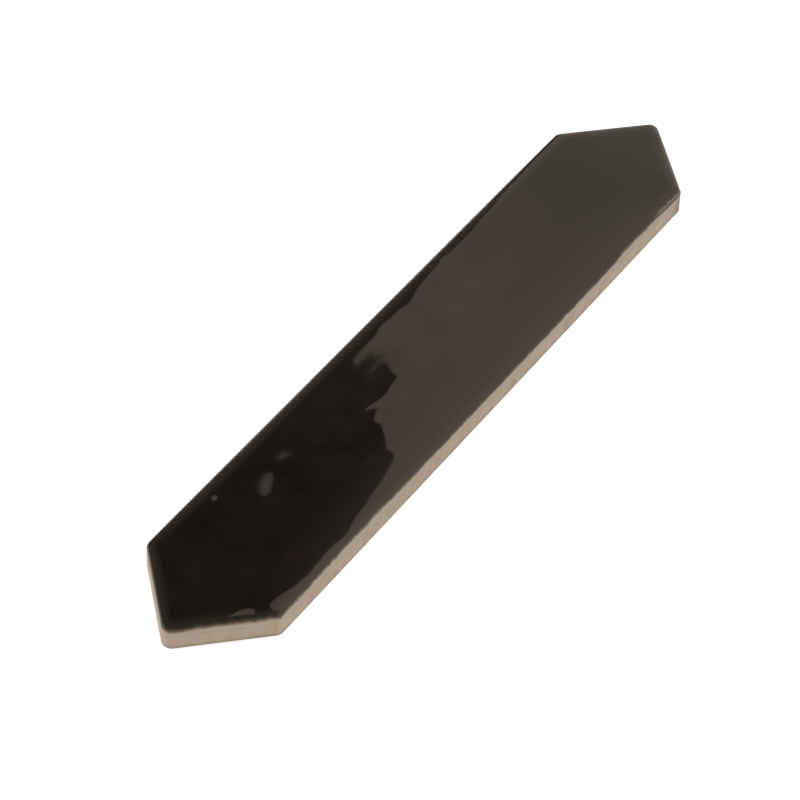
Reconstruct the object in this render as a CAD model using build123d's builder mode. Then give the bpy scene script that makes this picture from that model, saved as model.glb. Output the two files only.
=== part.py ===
from build123d import *
from math import exp, hypot, radians, tan, tanh
import os

# Driving dimensions in millimetres.
# The tile is a long picket: a strip whose two ends come to a point.
tile_length = 280.0  # tip to tip, before the corners are rounded
tile_width = 50.0
tip_angle = 90.0  # angle of each pointed end, in degrees
thickness = 9.5  # bedding face to the middle of the glazed face
corner_radius = 3.3  # in plan, the same at all six corners
die_taper = 1.2  # degrees, the sides lean in so that the pressing leaves its die
rolled_edge = 1.8  # radius where the glazed face turns down to the sides
foot_bevel = 0.5  # small bevel round the bedding face

# The glazed face is pressed from a hand-formed master. It is crowned a little across the
# tile, it falls away softly near every edge, and it swells and dips between.
crown = 0.03  # drop of the crown at the long edges
edge_fall = 0.135  # further drop at the outline itself
edge_fall_reach = 3.0
# Each row is one swell: centre x, centre y, reach along, reach across, height.
swells = [
    (-96.0, 4.0, 24.0, 12.0, 0.03),
    (-40.0, -10.0, 26.0, 12.0, 0.03),
    (-26.0, 3.0, 18.0, 5.0, 0.016),
    (-2.0, 24.0, 26.0, 9.0, 0.06),
    (48.0, -6.0, 24.0, 12.0, 0.03),
    (92.0, 5.0, 22.0, 12.0, -0.025),
]

# The back is keyed for the mortar: flutes between ribs, inside a plain border.
flute_depth = 0.8
flute_width = 6.0  # at the mouth
flute_pitch = 10.0
flute_count = 4
flute_draft = 30.0  # degrees, each flute narrows towards its floor
back_border = 6.0

half_length = tile_length / 2
half_width = tile_width / 2
tip_run = half_width / tan(radians(tip_angle / 2))
shoulder = half_length - tip_run

corners = [
    (-half_length, 0),
    (-shoulder, -half_width),
    (shoulder, -half_width),
    (half_length, 0),
    (shoulder, half_width),
    (-shoulder, half_width),
]


def depth_inside(x, y, start, end):
    """Distance of a point from one straight edge of the outline, positive inside it."""
    along_x = end[0] - start[0]
    along_y = end[1] - start[1]
    return (along_x * (y - start[1]) - along_y * (x - start[0])) / hypot(along_x, along_y)


def face_height(x, y):
    """Height of the glazed face: the crown, plus the swells, less the fall at each edge."""
    height = thickness - crown * (y / half_width) ** 2
    for centre_x, centre_y, reach_x, reach_y, rise in swells:
        height += rise * exp(-(((x - centre_x) / reach_x) ** 2) - ((y - centre_y) / reach_y) ** 2)
    for start, end in zip(corners, corners[1:] + corners[:1]):
        height -= edge_fall * (1 - tanh(depth_inside(x, y, start, end) / edge_fall_reach))
    return height


# The face is worked out on a grid a little larger than the tile and skinned as one surface.
grid_step = 2.5
grid_margin = 2.5
skin_tolerance = 0.005
stations_along = round((tile_length + 2 * grid_margin) / grid_step) + 1
stations_across = round((tile_width + 2 * grid_margin) / grid_step) + 1
face_grid = [
    [
        (x, y, face_height(x, y))
        for y in [grid_step * (j - (stations_across - 1) / 2) for j in range(stations_across)]
    ]
    for x in [grid_step * (i - (stations_along - 1) / 2) for i in range(stations_along)]
]
glazed_face = Face.make_surface_from_array_of_points(face_grid, tol=skin_tolerance, min_deg=3)

blank_height = thickness + 3.0

with BuildPart() as tile:
    # The outline, drawn out to a blank that is taller than the tile.
    with BuildSketch():
        with BuildLine():
            Polyline(*corners, close=True)
        outline = make_face()
        fillet(outline.vertices(), corner_radius)
    extrude(amount=blank_height, taper=die_taper)
    # All above the hand-formed face comes off, and its rim is rolled over.
    extrude(glazed_face, amount=blank_height, dir=(0, 0, 1), mode=Mode.SUBTRACT)
    fillet(faces().sort_by(Axis.Z)[-1].edges(), rolled_edge)
    chamfer(faces().sort_by(Axis.Z)[0].edges(), foot_bevel)
    # Flutes of the back, stopped by the border all round.
    with BuildSketch():
        with BuildLine():
            Polyline(*corners, close=True)
        make_face()
        offset(amount=-back_border, kind=Kind.INTERSECTION)
        with GridLocations(0, flute_pitch, 1, flute_count):
            Rectangle(tile_length, flute_width, mode=Mode.INTERSECT)
    extrude(amount=flute_depth, taper=flute_draft, mode=Mode.SUBTRACT)
tile.part.label = "tile"

os.makedirs("parts", exist_ok=True)
export_step(tile.part, "parts/tile.step")
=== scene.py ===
from math import atan2, cos, pi, radians, sin, tan

import bmesh
import bpy
import numpy as np
from mathutils import Matrix, Vector


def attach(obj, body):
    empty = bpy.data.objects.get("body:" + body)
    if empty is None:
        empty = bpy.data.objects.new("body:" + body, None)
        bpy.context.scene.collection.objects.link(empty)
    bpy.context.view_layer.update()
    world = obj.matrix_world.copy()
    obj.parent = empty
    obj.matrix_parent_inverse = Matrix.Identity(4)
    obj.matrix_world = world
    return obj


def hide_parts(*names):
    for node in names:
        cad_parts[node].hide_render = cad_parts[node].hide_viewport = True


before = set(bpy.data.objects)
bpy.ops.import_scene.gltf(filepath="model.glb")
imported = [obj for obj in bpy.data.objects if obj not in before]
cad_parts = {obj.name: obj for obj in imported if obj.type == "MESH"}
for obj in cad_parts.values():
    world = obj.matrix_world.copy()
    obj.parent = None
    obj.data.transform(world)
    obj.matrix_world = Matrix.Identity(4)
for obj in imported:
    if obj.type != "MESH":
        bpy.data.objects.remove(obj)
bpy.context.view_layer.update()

# Sizes of the tile, in millimetres. Its mesh is worked out in millimetres and stored in metres.
MILLIMETRE = 0.001
TILE_LENGTH = 280.0
TILE_WIDTH = 50.0
TIP_ANGLE = 90.0
THICKNESS = 9.5
CORNER_RADIUS = 3.3
DIE_TAPER = tan(radians(1.2))
ROLLED_EDGE = 1.8
FOOT_ROUND = 0.5

HALF_LENGTH = TILE_LENGTH / 2
HALF_WIDTH = TILE_WIDTH / 2
SHOULDER = HALF_LENGTH - HALF_WIDTH / tan(radians(TIP_ANGLE / 2))
CORNERS = np.array([
    (-HALF_LENGTH, 0),
    (-SHOULDER, -HALF_WIDTH),
    (SHOULDER, -HALF_WIDTH),
    (HALF_LENGTH, 0),
    (SHOULDER, HALF_WIDTH),
    (-SHOULDER, HALF_WIDTH),
])
# How far inside the outline the rolled edge ends and the face begins
FACE_INSET = (THICKNESS - ROLLED_EDGE) * DIE_TAPER + ROLLED_EDGE

# The hand-formed face: crown, fall at the edges, broad swells, then what the glaze adds.
CROWN = 0.03
EDGE_FALL = 0.135
EDGE_FALL_REACH = 3.0
# centre x, centre y, reach along, reach across, turn in degrees, height
SWELLS = [
    (-96.0, 4.0, 24.0, 12.0, 0.0, 0.03),
    (-40.0, -10.0, 26.0, 12.0, 0.0, 0.03),
    (-26.0, 3.0, 18.0, 5.0, 0.0, 0.016),
    (-2.0, 24.0, 26.0, 9.0, 0.0, 0.06),
    (48.0, -6.0, 24.0, 12.0, 0.0, 0.03),
    (92.0, 5.0, 22.0, 12.0, 0.0, -0.025),
]
# Low ridges and hollows left by the fingers, too fine for the pressed body
RIDGES = [
    (-10.0, 20.5, 9.0, 5.5, 2.0, 0.022),
    (-8.0, 18.6, 4.5, 2.2, 0.0, 0.018),
    (-16.0, 18.8, 3.6, 2.6, 0.0, 0.018),
    (-15.0, 12.2, 3.2, 1.7, 0.0, 0.010),
    (-12.6, 6.3, 2.4, 4.0, 0.0, 0.016),
    (-12.6, 1.8, 2.0, 1.8, 0.0, 0.008),
    (-21.0, 1.5, 9.0, 2.2, 0.0, 0.010),
    (-30.8, 3.7, 4.4, 1.4, -16.0, 0.032),
    (-33.0, -1.2, 2.5, 2.0, 0.0, 0.020),
    (-36.3, -7.5, 7.0, 2.4, 52.0, 0.014),
    (-40.8, -16.2, 2.4, 2.4, 50.0, 0.012),
    (-48.0, -17.9, 6.0, 4.0, 5.0, 0.024),
    (-66.0, -20.8, 7.0, 2.0, 8.0, 0.004),
    (-75.0, -24.5, 42.0, 5.0, 0.0, 0.017),
    (-77.5, -23.9, 5.0, 2.0, 0.0, 0.032),
    (-96.8, -23.9, 2.2, 1.8, 0.0, 0.016),
    (-112.5, -23.9, 9.8, 3.4, 0.0, -0.125),
    (-118.2, -18.9, 6.0, 2.6, -45.0, -0.200),
    (-125.8, -11.2, 4.0, 2.4, -45.0, 0.060),
    (66.0, 20.3, 24.0, 3.2, 0.0, 0.062),
    (2.0, 21.6, 5.0, 2.2, 0.0, 0.016),
    (19.5, 17.6, 5.0, 2.2, 0.0, 0.010),
    (40.0, 23.4, 2.6, 1.8, 0.0, 0.014),
    (56.0, 19.8, 8.0, 1.8, 0.0, 0.012),
    (-45.8, -19.3, 5.0, 2.2, 10.0, 0.008),
    (-8.8, 15.4, 2.4, 1.5, 0.0, 0.005),
    (-13.5, 21.0, 4.5, 1.8, 0.0, 0.030),
    (-16.5, 18.3, 2.4, 1.6, 0.0, 0.008),
    (-12.0, 18.6, 2.5, 1.6, 0.0, 0.006),
    (-14.5, 9.7, 3.5, 1.3, 0.0, -0.003),
    (-26.8, 2.0, 3.2, 3.6, 0.0, 0.007),
]
# Small dimples where the glaze sank over a pore in the body
DIMPLES = [
    (-87.5, 17.0, 2.9, 2.3, -55.0, -0.22),
    (-73.7, 6.8, 7.0, 3.6, 24.0, -0.212),
    (-60.9, 10.0, 3.6, 2.0, -32.0, -0.12),
]
RIPPLE = {"seed": 5, "waves": 40, "shortest": 6.0, "longest": 16.0, "slope": 0.0013}
# The whole face lies lower by this, so that no ridge passes the pressed body's highest point.
FACE_SETTLE = 0.046

# The glaze is a thin coat that stops on an uneven line, given as its depth below the face at
# stations round the outline: 0 is the near tip, then 1 to 5 the next corners in turn.
GLAZE_THICKNESS = 0.06
GLAZE_LINE = [
    (0.00, 2.0), (0.10, 2.15), (0.20, 1.85), (0.50, 1.8), (0.60, 1.55), (0.80, 1.7), (0.92, 1.45),
    (1.00, 1.4), (1.08, 1.2), (1.14, 1.0), (1.22, 1.0), (1.30, 1.3), (1.40, 1.45), (1.55, 1.5),
    (1.65, 1.7), (1.82, 1.75), (1.84, 1.0), (1.89, 1.1), (1.93, 1.25), (1.97, 1.5), (2.00, 1.7),
    (2.10, 1.9), (2.30, 1.7), (2.70, 1.4), (3.00, 1.5), (3.50, 1.3), (4.00, 1.5), (4.30, 1.6),
    (4.70, 1.4), (5.00, 1.6), (5.30, 1.9), (5.60, 2.1), (5.80, 2.1), (6.00, 2.0),
]
# The line wanders besides: number of waves round the tile, height of each
GLAZE_WANDER = [(23, 0.05), (41, 0.05), (83, 0.05), (140, 0.04)]
GLAZE_WANDER_SEED = 11
# The coat rises to its full thickness over this width, the stated share of it below the line.
COAT_RISE = 0.25
COAT_BELOW_LINE = 0.4
# A thick lip of glaze that hangs over the side at one corner
LIP_STATION = 1.975
LIP_REACH = 0.045
LIP_THICKNESS = 0.07
LIP_FADE = 0.9

# How much the glaze thins over the last millimetres before each edge, at the same stations.
# Its lighter colour there is partly thin glaze and partly painted reflection, most on the far rims.
GLAZE_THINNING_AND_REFLECTION = [
    (0.0, 0.28), (0.95, 0.28), (1.04, 0.65), (1.5, 0.65), (1.88, 0.45), (2.0, 0.5), (2.04, 0.74),
    (2.9, 0.74), (3.0, 0.95), (3.95, 0.95), (4.05, 0.55), (4.2, 0.78), (4.75, 0.82), (4.9, 0.7),
    (5.0, 0.38), (6.0, 0.28),
]
# Depth inside the edge where that starts, its run to full strength, and how far past it goes
THINNING_START = 6.5
THINNING_RUN = 4.0
THINNING_MOST = 1.25
# How much it thins besides as it drains from the middle towards each edge, at the same stations.
# This lighter colour too is partly painted reflection.
GLAZE_DRAINING_AND_REFLECTION = [
    (0.0, 0.0), (0.9, 0.0), (1.15, 0.3), (1.4, 0.42), (1.9, 0.3), (2.05, 0.05), (2.3, 0.2),
    (3.9, 0.2), (4.05, 0.0), (6.0, 0.0),
]
# Depth inside the edge where that starts, and its run to full strength
DRAINING_START = 20.0
DRAINING_RUN = 14.0

# The fluted back
FLUTE_DEPTH = 0.8
FLUTE_WIDTH = 6.0
FLUTE_PITCH = 10.0
FLUTE_COUNT = 4
FLUTE_DRAFT = tan(radians(30.0))
BACK_BORDER = 6.0
FLUTE_CORNER = 0.9

# Fineness of the mesh, as distances in millimetres
COLUMN_STEP = 0.8
ROW_STEP = 0.8
FLUTE_STEP = 2.0
SLOPE_STEP = 0.05
MERGE_DISTANCE = 0.01
# A round corner's steps are this share of the others, and at least so many.
ARC_FINENESS = 0.6
FEWEST_ARC_STEPS = 3
# Rows of the foot, of the side and of the rolled edge. The side's rows are closer above this
# share of its height, where the glaze line is.
FOOT_ROWS = 4
LOWER_SIDE_ROWS = 6
UPPER_SIDE_ROWS = 12
UPPER_SIDE_START = 0.76
ROLL_ROWS = 24
# Value of the glaze's distance attribute that marks the bare back
BACK_REACH = -8.0


def edge_depths(x, y):
    """Distance of each point from each straight edge of the outline, positive inside:
    the cross product of the edge's direction with the vector from its start."""
    depths = []
    for start, end in zip(CORNERS, np.roll(CORNERS, -1, axis=0)):
        along = (end - start) / np.hypot(*(end - start))
        depths.append(along[0] * (y - start[1]) - along[1] * (x - start[0]))
    return depths


def swell(x, y, centre_x, centre_y, reach_along, reach_across, turn, height):
    """A smooth mound: height times e to the minus squared distance, where the distance is
    measured in reaches along and across a direction turned from the tile's length."""
    c, s = cos(radians(turn)), sin(radians(turn))
    along = (c * (x - centre_x) + s * (y - centre_y)) / reach_along
    across = (c * (y - centre_y) - s * (x - centre_x)) / reach_across
    return height * np.exp(-along ** 2 - across ** 2)


def ripple(x, y, seed, waves, shortest, longest, slope):
    """Fine unevenness: a sum of plane waves of random direction, phase and wavelength, each
    as high as gives the sum the stated root mean square slope."""
    draw = np.random.default_rng(seed)
    wavelength = draw.uniform(shortest, longest, waves)
    heading = draw.uniform(0, 2 * pi, waves)
    phase = draw.uniform(0, 2 * pi, waves)
    number = 2 * pi / wavelength
    height = slope * np.sqrt(2 / waves) / number
    total = np.zeros_like(x)
    for k, h, p, a in zip(number, heading, phase, height):
        total += a * np.sin(k * (x * cos(h) + y * sin(h)) + p)
    return total


def face_height(x, y):
    """Height of the glazed face: thickness less crown, less a fall of one minus the
    hyperbolic tangent of the depth inside each edge, plus swells, ridges, dimples and ripple,
    less the settling."""
    height = THICKNESS - CROWN * (y / HALF_WIDTH) ** 2
    for depth in edge_depths(x, y):
        height = height - EDGE_FALL * (1 - np.tanh(depth / EDGE_FALL_REACH))
    for mound in SWELLS + RIDGES + DIMPLES:
        height = height + swell(x, y, *mound)
    return height + ripple(x, y, **RIPPLE) - FACE_SETTLE


def rounded_loop(corners, radius, step):
    """A closed outline with round corners, as core points, outward directions and stations. The
    outline at any inset d is core + (radius - d) * outward. The core is the polygon moved inwards
    by the radius; each of its corners carries an arc of directions, each edge a constant one. A
    station is the corner's number, plus the part of the edge after it that has been passed."""
    count = len(corners)
    edges = np.roll(corners, -1, axis=0) - corners
    lengths = np.hypot(edges[:, 0], edges[:, 1])
    normals = np.stack([edges[:, 1], -edges[:, 0]], axis=1) / lengths[:, None]
    before = np.roll(normals, 1, axis=0)
    bisector = normals + before
    bisector /= (bisector * normals).sum(axis=1)[:, None]
    core_corners = corners - radius * bisector
    core, outward, station = [], [], []
    for i in range(count):
        start_angle = atan2(before[i, 1], before[i, 0])
        turn = (atan2(normals[i, 1], normals[i, 0]) - start_angle) % (2 * pi)
        arc_steps = max(FEWEST_ARC_STEPS, round(turn * radius / (step * ARC_FINENESS)))
        angles = start_angle + turn * np.arange(arc_steps) / arc_steps
        core.append(np.repeat(core_corners[i][None], arc_steps, axis=0))
        outward.append(np.stack([np.cos(angles), np.sin(angles)], axis=1))
        station.append(np.full(arc_steps, float(i)))
        run = core_corners[(i + 1) % count] - core_corners[i]
        run_steps = max(1, round(np.hypot(*run) / step))
        part = np.arange(run_steps) / run_steps
        core.append(core_corners[i] + part[:, None] * run)
        outward.append(np.repeat(normals[i][None], run_steps, axis=0))
        station.append(i + part)
    return np.concatenate(core), np.concatenate(outward), np.concatenate(station)


def at_inset(core, outward, inset):
    """The tile's outline moved inwards, by one inset or by one for each of its columns."""
    return core + (CORNER_RADIUS - inset * np.ones(len(core)))[:, None] * outward


def ring_faces(rows, columns, first=0):
    """Quads of a grid that closes on itself along its columns, as one index array."""
    row, column = np.meshgrid(np.arange(rows - 1), np.arange(columns), indexing="ij")
    after = (column + 1) % columns
    quads = np.stack([
        row * columns + column,
        row * columns + after,
        (row + 1) * columns + after,
        (row + 1) * columns + column,
    ], axis=-1)
    return quads.reshape(-1, 4) + first


def glaze_line(station):
    """Where the glaze stops, as a distance along the surface measured up from the foot of the
    rolled edge: depths between the given stations in straight runs, plus a slow wander of sines,
    then turned from a depth below the face into a length of the rolled edge's quarter round."""
    draw = np.random.default_rng(GLAZE_WANDER_SEED)
    stations, depths = np.array(GLAZE_LINE).T
    depth = np.interp(station, stations, depths)
    turn = 2 * pi * np.arange(len(station)) / len(station)
    for waves, height in GLAZE_WANDER:
        depth = depth + height * np.sin(waves * turn + draw.uniform(0, 2 * pi))
    on_round = ROLLED_EDGE * np.arcsin(np.clip(1 - depth / ROLLED_EDGE, 0, 1))
    return np.where(depth < ROLLED_EDGE, on_round, ROLLED_EDGE - depth)


def coat(above, lip):
    """How far the glaze stands out of the body: a smooth step across its line up to its
    thickness, plus a lip that fades by e to the minus squared distance above the line."""
    rise = np.clip(above / COAT_RISE + COAT_BELOW_LINE, 0, 1)
    rise = rise * rise * (3 - 2 * rise)
    hang = LIP_THICKNESS * lip * np.exp(-(np.clip(above, 0, None) / LIP_FADE) ** 2)
    return rise * (GLAZE_THICKNESS + hang)


def glaze_thinness_and_reflection(station, depth_in):
    """How thin the glaze is, a value that also carries painted reflection: by the square of the
    distance over the last few millimetres, or by the gentler straight fall from the middle where
    that is more. The fourth root of the sum of their fourth powers passes smoothly from one to
    the other."""
    near = np.interp(station, *np.array(GLAZE_THINNING_AND_REFLECTION).T)
    far = np.interp(station, *np.array(GLAZE_DRAINING_AND_REFLECTION).T)
    thinned = near * np.clip((THINNING_START - depth_in) / THINNING_RUN, 0, THINNING_MOST) ** 2
    drained = far * np.clip((DRAINING_START - depth_in) / DRAINING_RUN, 0, 1)
    return (thinned ** 4 + drained ** 4) ** 0.25


def side_profile(core, outward):
    """The body's profile at each column of the outline, from the foot up the leaning side and
    over the rolled edge. The foot and the rolled edge are quarter rounds, and the rolled edge is
    sheared so that it leaves the face at the face's slope. Each row is an inset, a height, a lean
    of the surface's outward direction, and a distance along the surface from the foot of the
    rolled edge."""
    full = np.ones(len(core))
    top = face_height(*at_inset(core, outward, FACE_INSET).T)
    slope = (face_height(*at_inset(core, outward, FACE_INSET + SLOPE_STEP).T) - top) / SLOPE_STEP
    top = top - GLAZE_THICKNESS
    side_top = top - ROLLED_EDGE * (1 + slope)
    rows = []
    for angle in np.linspace(0, pi / 2, FOOT_ROWS, endpoint=False):
        inset = FOOT_ROUND * (1 - sin(angle)) + FOOT_ROUND * DIE_TAPER
        height = FOOT_ROUND * (1 - cos(angle)) * full
        rows.append((inset * full, height, 0.0, height - side_top))
    lower = np.linspace(0, UPPER_SIDE_START, LOWER_SIDE_ROWS, endpoint=False)
    upper = np.linspace(UPPER_SIDE_START, 1.0, UPPER_SIDE_ROWS, endpoint=False)
    for part in np.append(lower, upper):
        height = FOOT_ROUND + part * (side_top - FOOT_ROUND)
        rows.append((height * DIE_TAPER, height, 0.0, height - side_top))
    for angle in np.linspace(0, pi / 2, ROLL_ROWS + 1):
        inset = FACE_INSET - ROLLED_EDGE * cos(angle)
        height = top - ROLLED_EDGE * (1 - sin(angle) + slope * cos(angle))
        rows.append((inset * full, height, angle, ROLLED_EDGE * angle * full))
    return rows


def side_and_face():
    """The tile above its foot, as a grid of points and the marks on it: the side's profile
    carried round the outline, with the glaze's coat added along the outward direction, then
    straight lines in across the face to the spine between the two shoulders."""
    core, outward, station = rounded_loop(CORNERS, CORNER_RADIUS, COLUMN_STEP)
    line = glaze_line(station)
    lip = np.exp(-((station - LIP_STATION) / LIP_REACH) ** 2)
    points, reach, depth_in = [], [], []
    for inset, height, lean, climbed in side_profile(core, outward):
        above = climbed - line
        added = coat(above, lip)
        plan = at_inset(core, outward, inset - added * cos(lean))
        points.append(np.column_stack([plan, height + added * sin(lean)]))
        reach.append(above)
        depth_in.append(inset)
    rim = at_inset(core, outward, FACE_INSET)
    spine = np.column_stack([np.clip(rim[:, 0], -SHOULDER, SHOULDER), np.zeros(len(core))])
    run = np.hypot(*(spine - rim).T)
    steps = round(HALF_WIDTH / ROW_STEP)
    for part in np.arange(1, steps + 1) / steps:
        plan = rim + part * (spine - rim)
        points.append(np.column_stack([plan, face_height(*plan.T)]))
        reach.append(ROLLED_EDGE * pi / 2 - line + part * run)
        depth_in.append(FACE_INSET + part * run)
    # The lowest row is the border of the back.
    reach[0] = np.full(len(core), BACK_REACH)
    marks = {
        "glaze_reach": np.array(reach),
        "glaze_thin_and_reflection": glaze_thinness_and_reflection(station, np.array(depth_in)),
        "glaze_lip": np.tile(lip, len(points)),
    }
    return np.array(points), marks


def flute_mouths():
    """Corners of each flute where it opens in the back: a long strip whose ends follow the
    tile's points, at the border's distance from them."""
    reach = HALF_LENGTH - BACK_BORDER / sin(radians(TIP_ANGLE / 2))
    mouths = []
    for index in range(FLUTE_COUNT):
        middle = FLUTE_PITCH * (index - (FLUTE_COUNT - 1) / 2)
        low, high = middle - FLUTE_WIDTH / 2, middle + FLUTE_WIDTH / 2
        mouths.append(np.array([
            (-(reach - abs(low)), low),
            (reach - abs(low), low),
            (reach - abs(high), high),
            (-(reach - abs(high)), high),
        ]))
    return mouths


def flute(corners):
    """One flute, as a grid of points: a profile of insets and depths carried round its mouth,
    from the back's surface in a small round, down the drafted wall and into the floor."""
    core, outward, _ = rounded_loop(corners, FLUTE_CORNER, FLUTE_STEP)
    foot = FLUTE_DRAFT * FLUTE_DEPTH
    profile = [
        (-0.12, 0.0), (-0.02, 0.03), (0.06, 0.12),
        (foot - 0.04, FLUTE_DEPTH - 0.12), (foot + 0.06, FLUTE_DEPTH - 0.03), (foot + 0.2, FLUTE_DEPTH),
    ]
    rings = [np.column_stack([core + (FLUTE_CORNER - inset) * outward, np.full(len(core), depth)])
             for inset, depth in profile]
    return np.array(rings)


def close_back(mesh, loops):
    """Fills the flat land of the back with triangles, between the first of the given loops of
    vertices and the others, the mouths of the flutes. Then every face is turned outwards."""
    bm = bmesh.new()
    bm.from_mesh(mesh)
    bm.verts.ensure_lookup_table()
    land_edges = []
    for loop in loops:
        for a, b in zip(loop.tolist(), np.roll(loop, -1).tolist()):
            land_edges.append(bm.edges.get((bm.verts[a], bm.verts[b])))
    bmesh.ops.triangle_fill(bm, edges=land_edges, use_beauty=True, use_dissolve=False)
    bmesh.ops.remove_doubles(bm, verts=bm.verts, dist=MERGE_DISTANCE * MILLIMETRE)
    bmesh.ops.recalc_face_normals(bm, faces=bm.faces)
    for face in bm.faces:
        face.smooth = True
    bm.to_mesh(mesh)
    bm.free()
    mesh.update()


def make_tile():
    """The whole tile as one closed mesh: side and face, flutes, and the flat land between."""
    grid, marks = side_and_face()
    rows, columns = grid.shape[:2]
    points = [grid.reshape(-1, 3)]
    quads = [ring_faces(rows, columns)]
    loops = [np.arange(columns)]
    floors = []
    first = rows * columns
    for corners in flute_mouths():
        pocket = flute(corners)
        deep, around = pocket.shape[:2]
        points.append(pocket.reshape(-1, 3))
        quads.append(ring_faces(deep, around, first)[:, ::-1])
        loops.append(first + np.arange(around))
        first += deep * around
        floors.append(first - around + np.arange(around))
    faces = [tuple(quad) for quad in np.concatenate(quads).tolist()]
    faces += [tuple(floor_loop.tolist()) for floor_loop in floors]
    mesh = bpy.data.meshes.new("tile_glazed")
    mesh.from_pydata((np.concatenate(points) * MILLIMETRE).tolist(), [], faces)
    for name, values in marks.items():
        bare = np.full(first - values.size, BACK_REACH if name == "glaze_reach" else 0.0)
        layer = mesh.attributes.new(name, "FLOAT", "POINT")
        layer.data.foreach_set("value", np.append(values, bare).astype(np.float32))
    close_back(mesh, loops)
    made = bpy.data.objects.new("tile_glazed", mesh)
    bpy.context.scene.collection.objects.link(made)
    return made


# Materials
class Nodes:
    """Short calls for a material's nodes. A number or colour given to an input is set on its
    socket, and another node's output is linked to it."""

    def __init__(self, name):
        self.material = bpy.data.materials.new(name)
        self.material.use_nodes = True
        self.tree = self.material.node_tree
        self.tree.nodes.clear()

    def add(self, kind, inputs=None, **settings):
        """A node of any kind, with its settings and inputs."""
        node = self.tree.nodes.new("ShaderNode" + kind)
        for name, value in settings.items():
            setattr(node, name, value)
        for name, value in (inputs or {}).items():
            socket = node.inputs[name]
            if isinstance(value, bpy.types.NodeSocket):
                self.tree.links.new(value, socket)
            else:
                socket.default_value = value
        return node

    def math(self, operation, a, b=0.0, c=0.0, clamp=False):
        """One step of arithmetic."""
        node = self.add("Math", {0: a, 1: b, 2: c}, operation=operation, use_clamp=clamp)
        return node.outputs[0]

    def ramp(self, value, low, high, out_low=0.0, out_high=1.0):
        """A straight rise from one value to another as the input goes from low to high."""
        node = self.add("MapRange", {"Value": value, "From Min": low, "From Max": high,
                                     "To Min": out_low, "To Max": out_high})
        return node.outputs["Result"]

    def ramp_mm(self, value, low, high, out_low=0.0, out_high=1.0):
        """The same for a length in metres, with its two ends given in millimetres."""
        return self.ramp(value, low * MILLIMETRE, high * MILLIMETRE, out_low, out_high)

    def colours(self, factor, stops):
        """A colour ramp through the given places and colours."""
        node = self.add("ValToRGB", {"Fac": factor})
        band = node.color_ramp
        while len(band.elements) < len(stops):
            band.elements.new(0.5)
        for element, (place, colour) in zip(band.elements, stops):
            element.position = place
            element.color = (*colour, 1)
        return node.outputs["Color"]

    def mix(self, factor, a, b):
        """Colour a, replaced by colour b as the factor goes from 0 to 1."""
        node = self.add("Mix", {0: factor, 6: a, 7: b}, data_type="RGBA")
        return node.outputs[2]

    def noise(self, vector, scale, detail=2.0, roughness=0.5):
        """Smooth noise, with the scale in waves a metre."""
        node = self.add("TexNoise", {"Vector": vector, "Scale": scale, "Detail": detail,
                                     "Roughness": roughness})
        return node.outputs["Fac"]

    def slanted(self, vector, degrees, stretch):
        """Coordinates that draw a pattern out, along a line leaning in the long sides' plane."""
        node = self.add("Mapping", {"Vector": vector, "Rotation": (0.0, radians(degrees), 0.0),
                                    "Scale": (1.0, 1.0, stretch)}, vector_type="TEXTURE")
        return node.outputs["Vector"]

    def spot(self, place, x, y, size, core, strength):
        """A round spot on the face, in millimetres: the strength inside the core's share of the
        size, and from there a straight fall to nothing."""
        centre = (x * MILLIMETRE, y * MILLIMETRE, THICKNESS * MILLIMETRE)
        away = self.add("VectorMath", {0: place, 1: centre}, operation="DISTANCE")
        return self.ramp_mm(away.outputs["Value"], size, core * size, 0.0, strength)

    def finish(self, shader):
        """The material, with the shader as its surface."""
        out = self.add("OutputMaterial")
        self.tree.links.new(shader, out.inputs["Surface"])
        return self.material


# Marks and painted shade of the bare body, in millimetres: where each begins, and where it has its full
# strength
DRAG_MARKS = (118.0, 112.0)
GREYER_UPWARDS = (4.2, 6.6)
# painted shade along the foot's round, where the contact shadow falls
SHADED_FOOT = (1.6, 0.6)
# A stain at the far end of the side, in two steps: begin, full, strength
STAINS = [(110.6, 112.0, 0.5), (114.6, 116.0, 0.65)]
# Faint rusty specks in the glaze: x, y, size, strength
GLAZE_SPECKS = [(-94.5, -14.0, 2.0, 0.22), (-129.5, -8.0, 2.6, 0.2)]
# Duller glaze in two of the dimples and between the ridges: x, y, size, added roughness
DULL_SPOTS = [(-74.7, 9.3, 6.0, 0.08), (-62.0, 11.9, 4.5, 0.08), (-16.0, 14.0, 10.0, 0.03)]
SPECK_CORE = 0.2
DULL_CORE = 0.6
BODY_ROUGHNESS = 0.85
GLAZE_ROUGHNESS = 0.028


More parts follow.
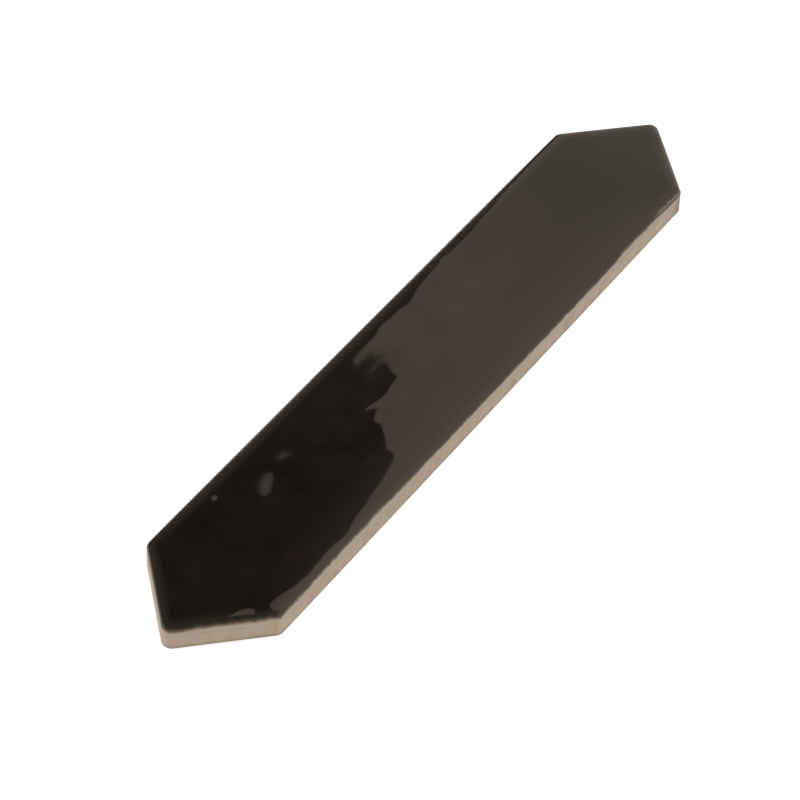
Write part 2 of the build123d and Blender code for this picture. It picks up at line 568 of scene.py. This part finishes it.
def body_colour(n, place, along, height, reach):
    """The fired body: fine grained, with slanting drag marks of the die on the long sides, greyer
    towards the glaze but for a band of painted highlight under it, painted shade at the foot, and
    stained at the far end. Gives its colour, and the relief of grain and marks."""
    grain = n.noise(place, 2600.0, 3.0, 0.6)
    blotch = n.noise(place, 170.0, 3.0)
    drag = n.noise(n.slanted(place, 40, 6.0), 1100.0, 5.0, 0.72)
    marked = n.ramp_mm(n.math("ABSOLUTE", along), *DRAG_MARKS, 0.15, 0.95)
    drag = n.math("MULTIPLY_ADD", n.math("SUBTRACT", drag, 0.5), marked, 0.5)
    tone = n.math("ADD", n.math("MULTIPLY_ADD", blotch, 0.5, -0.25), drag)
    body = n.colours(tone, [(0.34, (0.410, 0.318, 0.236)), (0.50, (0.490, 0.392, 0.299)),
                            (0.66, (0.550, 0.458, 0.358))])
    body = n.mix(n.ramp(grain, 0.35, 0.65, 0.0, 0.4), body, (0.42, 0.336, 0.254, 1))
    greyed = n.ramp_mm(height, *GREYER_UPWARDS, 0.0, 0.55)
    body = n.mix(greyed, body, (0.365, 0.307, 0.243, 1))
    scratch = n.ramp(n.noise(n.slanted(place, 46, 8.0), 520.0, 1.0), 0.66, 0.72, 0.0, 0.55)
    body = n.mix(n.math("MULTIPLY", scratch, marked), body, (0.300, 0.240, 0.180, 1))
    # Painted highlight: a paler band just under the glaze line, where the top of the side catches the
    # light.
    painted_edge_highlight = n.math("MULTIPLY", n.ramp(reach, -1.7, -1.1), n.ramp(reach, -0.4, -0.7))
    body = n.mix(n.math("MULTIPLY", painted_edge_highlight, 0.45), body, (0.520, 0.450, 0.365, 1))
    on_side = n.ramp(reach, BACK_REACH + 0.05, BACK_REACH + 0.3)
    # Painted shade along the foot, for its round and the contact shadow there.
    foot = n.ramp_mm(height, *SHADED_FOOT, 0.0, 0.5)
    body = n.mix(n.math("MULTIPLY", foot, on_side), body, (0.260, 0.212, 0.160, 1))
    steps = [n.ramp_mm(along, begin, full, 0.0, strength) for begin, full, strength in STAINS]
    stained = n.math("MAXIMUM", *steps)
    body = n.mix(n.math("MULTIPLY", stained, on_side), body, (0.230, 0.205, 0.165, 1))
    return body, n.math("MULTIPLY_ADD", grain, 0.6, drag)


def glaze_colour(n, place, along, thin_and_reflection):
    """The glaze on the face: a clouded near black, blackest before the far point where the coat
    is deepest, turning brown and then a paler grey brown as it thins, with faint rusty specks. That
    paler grey brown is partly painted reflection."""
    cloud = n.noise(place, 95.0, 3.0)
    deep = n.colours(cloud, [(0.30, (0.0138, 0.0104, 0.0079)), (0.70, (0.0219, 0.0166, 0.0125))])
    paler = n.colours(n.ramp(along, -HALF_LENGTH * MILLIMETRE, HALF_LENGTH * MILLIMETRE), [
        (0.25, (0.60, 0.60, 0.60)), (0.39, (0.80, 0.80, 0.80)), (0.54, (1.00, 1.00, 1.00)),
        (0.61, (1.00, 1.00, 1.00)), (0.85, (0.04, 0.04, 0.04)), (0.97, (0.50, 0.50, 0.50))])
    deep = n.mix(paler, (0.0035, 0.0012, 0.0, 1), deep)
    # Paler where the value is high: partly thin glaze, partly painted reflection.
    thinner_and_reflected = n.colours(n.math("MULTIPLY", thin_and_reflection, 0.5), [
        (0.00, (0.012, 0.009, 0.007)), (0.50, (0.038, 0.032, 0.025)), (1.00, (0.130, 0.114, 0.094))])
    glaze = n.mix(n.math("MULTIPLY", thin_and_reflection, 3.0, clamp=True), deep, thinner_and_reflected)
    for x, y, size, strength in GLAZE_SPECKS:
        speck = n.spot(place, x, y, size, SPECK_CORE, strength)
        glaze = n.mix(speck, glaze, (0.040, 0.018, 0.010, 1))
    return glaze


def edge_colour(n, above, thin_and_reflection, lip, body, glaze):
    """From the body to the glaze, by the distance above the glaze line: brown and then black on
    the short near sides, where the glaze is thick, paler along the rest, and at the lip a painted
    shadow line under a band of painted highlight."""
    share = n.ramp(above, -0.8, 3.2)
    thick_edge = n.colours(share, [
        (0.10, (0.420, 0.345, 0.262)), (0.19, (0.310, 0.250, 0.187)), (0.27, (0.195, 0.155, 0.115)),
        (0.36, (0.108, 0.084, 0.061)), (0.46, (0.058, 0.044, 0.031)), (0.60, (0.032, 0.024, 0.016)),
        (0.80, (0.020, 0.015, 0.011))])
    thin_edge = n.colours(share, [
        (0.09, (0.440, 0.362, 0.280)), (0.14, (0.350, 0.290, 0.225)), (0.21, (0.245, 0.203, 0.157)),
        (0.285, (0.140, 0.117, 0.091)), (0.36, (0.070, 0.060, 0.048)), (0.44, (0.048, 0.041, 0.033))])
    # At the lip: a painted shadow line under the hanging glaze, then a band of painted highlight on it.
    lip_shadow_and_highlight = n.colours(share, [
        (0.11, (0.430, 0.355, 0.272)), (0.19, (0.120, 0.100, 0.078)), (0.25, (0.045, 0.038, 0.030)),
        (0.30, (0.045, 0.038, 0.030)), (0.36, (0.150, 0.132, 0.108)), (0.46, (0.170, 0.150, 0.122)),
        (0.56, (0.105, 0.092, 0.075)), (0.66, (0.048, 0.041, 0.033))])
    thin_there = n.ramp(thin_and_reflection, 0.45, 0.72)
    lip_there = n.ramp(lip, 0.4, 0.75)
    breaking = n.mix(lip_there, n.mix(thin_there, thick_edge, thin_edge), lip_shadow_and_highlight)
    colour = n.mix(n.ramp(above, -0.80, -0.55), body, breaking)
    early = n.math("SUBTRACT", thin_there, lip_there, clamp=True)
    settled = n.ramp(n.math("ADD", above, early), 1.3, 2.6)
    return n.mix(settled, colour, glaze)


def fired_tile():
    """Black glaze above the glaze line and bare fired body below it. The line is roughened by two
    noises, with crumbs of glaze on it. Above it the surface turns glossy and loses its relief."""
    n = Nodes("fired_tile")
    place = n.add("TexCoord").outputs["Object"]
    reach = n.add("Attribute", attribute_name="glaze_reach").outputs["Fac"]
    thin_and_reflection = n.add("Attribute", attribute_name="glaze_thin_and_reflection").outputs["Fac"]
    lip = n.add("Attribute", attribute_name="glaze_lip").outputs["Fac"]
    parts = n.add("SeparateXYZ", {0: place}).outputs
    along, height = parts["X"], parts["Z"]

    ragged = n.noise(place, 1100.0, 2.0)
    uneven = n.noise(place, 320.0, 2.0)
    shift = n.math("ADD", n.math("MULTIPLY_ADD", ragged, 0.7, -0.35),
                   n.math("MULTIPLY_ADD", uneven, 0.7, -0.35))
    above = n.math("ADD", reach, shift)
    body, relief = body_colour(n, place, along, height, reach)
    glaze = glaze_colour(n, place, along, thin_and_reflection)
    colour = edge_colour(n, above, thin_and_reflection, lip, body, glaze)
    crumb = n.math("MULTIPLY", n.ramp(n.noise(place, 620.0, 1.0), 0.66, 0.70),
                   n.math("MULTIPLY", n.ramp(above, -0.6, -0.2), n.ramp(above, 1.0, 0.5)))
    colour = n.mix(n.math("MULTIPLY", crumb, 0.75), colour, (0.045, 0.033, 0.022, 1))

    glassy = n.ramp(above, -0.2, 0.7)
    roughness = n.ramp(glassy, 0.0, 1.0, BODY_ROUGHNESS, GLAZE_ROUGHNESS)
    for x, y, size, added in DULL_SPOTS:
        roughness = n.math("ADD", roughness, n.spot(place, x, y, size, DULL_CORE, added))
    bump_height = n.math("MULTIPLY", n.math("SUBTRACT", 1.0, glassy), relief)
    bump = n.add("Bump", {"Height": bump_height, "Strength": 0.5, "Distance": 0.00012})
    shader = n.add("BsdfPrincipled", {
        "Base Color": colour,
        "Roughness": roughness,
        "Normal": bump.outputs["Normal"],
        "IOR": 1.5,
        "Specular Tint": (0.82, 0.62, 0.455, 1),
    })
    return n.finish(shader.outputs["BSDF"])


tile = make_tile()
tile.data.materials.append(fired_tile())
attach(tile, "root")
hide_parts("tile")

# Studio, in metres and degrees
FLOOR_HALF = 6.0
FLOOR_DROP = 0.0001
FLOOR_COLOUR = (0.85, 0.85, 0.85, 1)
FLOOR_LIFT = 0.5
WORLD_LEVEL = 0.45
SOFTBOX_SIZE = 1.4
SOFTBOX_DISTANCE = 2.2
SOFTBOX_COLOUR = (1.0, 0.99, 0.97)

# Black cloths that only the glaze mirrors. One stands beyond the tile to the left, and its right
# edge is the border between the dark and the light part of the face. One hangs overhead, less a
# corner that would darken the glaze at station 2, and one stands behind the camera.
CLOTH_COLOUR = (0.004, 0.004, 0.004, 1)
CARD_AZIMUTH = 32.75
CARD_START = Vector((-0.025, 0, -0.05))
CARD_DISTANCE = 3.0
CARD_WIDTH = 9.0
CARD_HEIGHT = 5.0
CEILING_RIGHT = 1.9
CEILING_BACK = 7.0
CEILING_CUT_RIGHT = 0.15
CEILING_CUT_BACK = 1.6

# Camera: a long lens at the photograph's angle
CAMERA_AIM = Vector((-0.01741, -0.00122, 0.00475))
CAMERA_DISTANCE = 1.08838
CAMERA_AZIMUTH = -147.449
CAMERA_ELEVATION = 45.652
CAMERA_ROLL = 2.317
CAMERA_LENS = 155.543


def direction(azimuth, elevation):
    """The unit vector towards a point of the sky, with azimuth 0 along the tile's length."""
    a, e = radians(azimuth), radians(elevation)
    return Vector((cos(a) * cos(e), sin(a) * cos(e), sin(e)))


def panel(name, corners, material, mirrored_only=False):
    """A flat sheet with the given corners, in metres, that isn't part of the object."""
    mesh = bpy.data.meshes.new(name)
    mesh.from_pydata([tuple(corner) for corner in corners], [], [tuple(range(len(corners)))])
    mesh.materials.append(material)
    made = bpy.data.objects.new(name, mesh)
    bpy.context.scene.collection.objects.link(made)
    if mirrored_only:
        made.visible_camera = False
        made.visible_diffuse = False
        made.visible_shadow = False


def floor_paint():
    """Pale matt paint, lifted to white for the camera alone, which keeps the shadow."""
    n = Nodes("studio_floor")
    paint = n.add("BsdfDiffuse", {"Color": FLOOR_COLOUR})
    seen = n.add("LightPath").outputs["Is Camera Ray"]
    glow = n.add("Emission", {"Strength": n.math("MULTIPLY", seen, FLOOR_LIFT)})
    both = n.add("AddShader", {0: paint.outputs[0], 1: glow.outputs[0]})
    return n.finish(both.outputs[0])


def black_cloth():
    """Matt black."""
    n = Nodes("black_cloth")
    return n.finish(n.add("BsdfDiffuse", {"Color": CLOTH_COLOUR}).outputs[0])


def hang_cloths():
    """The standing card, the ceiling and the back, as corners worked out from the foot of the
    card's right edge."""
    cloth = black_cloth()
    facing = direction(CARD_AZIMUTH, 0)
    leftward = Vector((-facing.y, facing.x, 0))
    left = CARD_WIDTH * leftward
    right = CEILING_RIGHT * leftward
    back = CEILING_BACK * facing
    up = CARD_HEIGHT * Vector((0, 0, 1))
    foot = CARD_START + CARD_DISTANCE * facing
    top = foot + up
    panel("black_card", [foot + left, foot, top, top + left], cloth, mirrored_only=True)
    panel("black_ceiling", [
        top + left,
        top - CEILING_CUT_RIGHT * leftward,
        top - right - CEILING_CUT_BACK * facing,
        top - right - back,
        top + left - back,
    ], cloth, mirrored_only=True)
    panel("black_back", [
        foot - right - back, foot + left - back, top + left - back, top - right - back,
    ], cloth, mirrored_only=True)


def light_world():
    """White to the camera and in reflections, and a plain level for the rest: the strength goes
    from that level to 1 with the greatest of the three ray kinds."""
    world = bpy.data.worlds.new("studio")
    bpy.context.scene.world = world
    world.use_nodes = True
    tree = world.node_tree
    tree.nodes.clear()
    path = tree.nodes.new("ShaderNodeLightPath")
    seen = path.outputs["Is Camera Ray"]
    for kind in ("Is Glossy Ray", "Is Transmission Ray"):
        either = tree.nodes.new("ShaderNodeMath")
        either.operation = "MAXIMUM"
        tree.links.new(seen, either.inputs[0])
        tree.links.new(path.outputs[kind], either.inputs[1])
        seen = either.outputs[0]
    level = tree.nodes.new("ShaderNodeMapRange")
    level.inputs["To Min"].default_value = WORLD_LEVEL
    tree.links.new(seen, level.inputs["Value"])
    sky = tree.nodes.new("ShaderNodeBackground")
    sky.inputs["Color"].default_value = (1, 1, 1, 1)
    tree.links.new(level.outputs["Result"], sky.inputs["Strength"])
    sky_out = tree.nodes.new("ShaderNodeOutputWorld")
    tree.links.new(sky.outputs["Background"], sky_out.inputs["Surface"])


def softbox(name, azimuth, elevation, power):
    """A square lamp aimed at the tile from a direction, which nothing mirrors."""
    data = bpy.data.lights.new(name, "AREA")
    data.shape = "SQUARE"
    data.size = SOFTBOX_SIZE
    data.energy = power
    data.color = SOFTBOX_COLOUR
    lamp = bpy.data.objects.new(name, data)
    lamp.location = SOFTBOX_DISTANCE * direction(azimuth, elevation)
    lamp.rotation_mode = "QUATERNION"
    lamp.rotation_quaternion = lamp.location.to_track_quat("Z", "Y")
    lamp.visible_glossy = False
    bpy.context.scene.collection.objects.link(lamp)


def set_camera():
    """The camera stands back from its aim by the distance, looks along that line and is rolled."""
    data = bpy.data.cameras.new("camera")
    data.lens = CAMERA_LENS
    data.sensor_width = 36
    data.clip_start = 0.05
    data.clip_end = 50
    camera = bpy.data.objects.new("camera", data)
    back = direction(CAMERA_AZIMUTH, CAMERA_ELEVATION)
    camera.matrix_world = (
        Matrix.Translation(CAMERA_AIM + CAMERA_DISTANCE * back)
        @ back.to_track_quat("Z", "Y").to_matrix().to_4x4()
        @ Matrix.Rotation(radians(CAMERA_ROLL), 4, "Z")
    )
    bpy.context.scene.collection.objects.link(camera)
    bpy.context.scene.camera = camera


panel("studio_floor", [
    (-FLOOR_HALF, -FLOOR_HALF, -FLOOR_DROP), (FLOOR_HALF, -FLOOR_HALF, -FLOOR_DROP),
    (FLOOR_HALF, FLOOR_HALF, -FLOOR_DROP), (-FLOOR_HALF, FLOOR_HALF, -FLOOR_DROP),
], floor_paint())
hang_cloths()
light_world()
softbox("right_softbox", azimuth=-92, elevation=40, power=22)
softbox("left_softbox", azimuth=120, elevation=22, power=30)
set_camera()
bpy.context.scene.view_settings.view_transform = "Standard"
